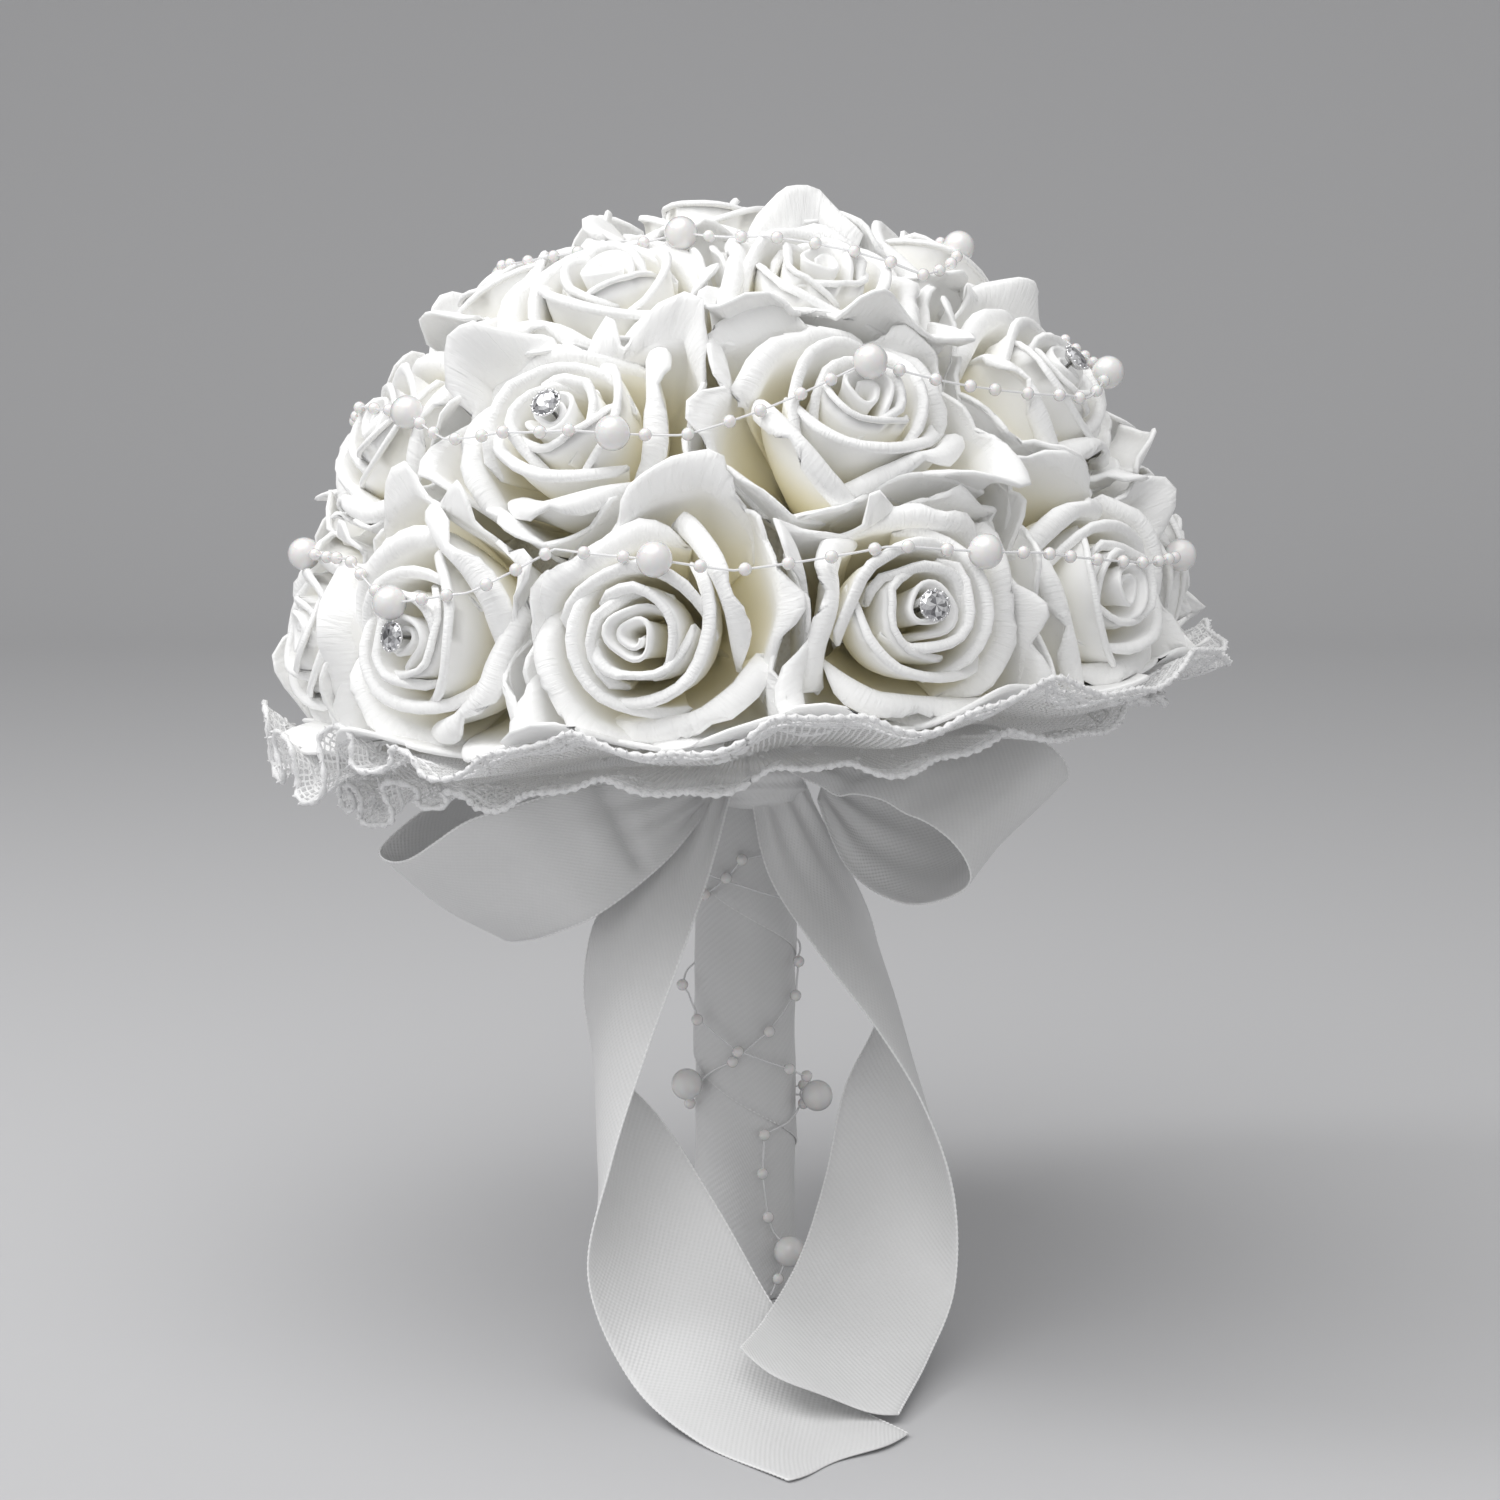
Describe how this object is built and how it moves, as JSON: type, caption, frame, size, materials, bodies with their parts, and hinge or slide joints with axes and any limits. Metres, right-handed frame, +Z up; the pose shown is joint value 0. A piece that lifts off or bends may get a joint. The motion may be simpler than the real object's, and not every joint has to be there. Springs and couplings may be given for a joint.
{
  "type": "bridal bouquet",
  "caption": "Round bridal bouquet of white foam roses on a straight satin-wrapped handle, with a lace collar, a bow with long tails, pearl strings and crystal pins.",
  "frame": {"origin": "centre of the flat end of the handle, on which the bouquet stands", "axes": "+Z up along the handle to the head; -Y towards the front, where the bow is tied; +X to the right as seen from the front"},
  "size_m": [0.239, 0.259, 0.2776],
  "materials": {
    "petal": "soft white closed-cell foam, ivory in the folds",
    "crystal": "cut clear crystal in a polished cup on a steel pin",
    "foam": "rough light rigid foam, hidden",
    "plastic": "plain moulded plastic, hidden",
    "lace": "white net lace with embroidered sprigs and a corded scalloped edge",
    "satin": "white polyester satin ribbon with stitched edges",
    "pearl": "pearlised gloss beads on a clear line"
  },
  "bodies": {
    "root": {"rose_01": "petal", "rose_02": "petal", "rose_03": "petal", "rose_04": "petal", "rose_05": "petal", "rose_06": "petal", "rose_07": "petal", "rose_08": "petal", "rose_09": "petal", "rose_10": "petal", "rose_11": "petal", "rose_12": "petal", "rose_13": "petal", "rose_14": "petal", "rose_15": "petal", "rose_16": "petal", "rose_17": "petal", "rose_18": "petal", "rose_19": "petal", "rose_20": "petal", "rose_21": "petal", "rose_22": "petal", "rose_23": "petal", "rose_24": "petal", "rose_25": "petal", "rose_26": "petal", "crystal_pin_01": "crystal", "crystal_pin_02": "crystal", "crystal_pin_03": "crystal", "crystal_pin_04": "crystal", "crystal_pin_05": "crystal", "crystal_pin_06": "crystal", "crystal_pin_07": "crystal", "crystal_pin_08": "crystal", "crystal_pin_09": "crystal", "foam_core": "foam", "holder": "plastic", "lace_upper": "lace", "lace_lower": "lace", "handle_wrap": "satin", "bow": "satin", "pearl_string_head": "pearl", "pearl_string_handle": "pearl"}
  },
  "joints": []
}
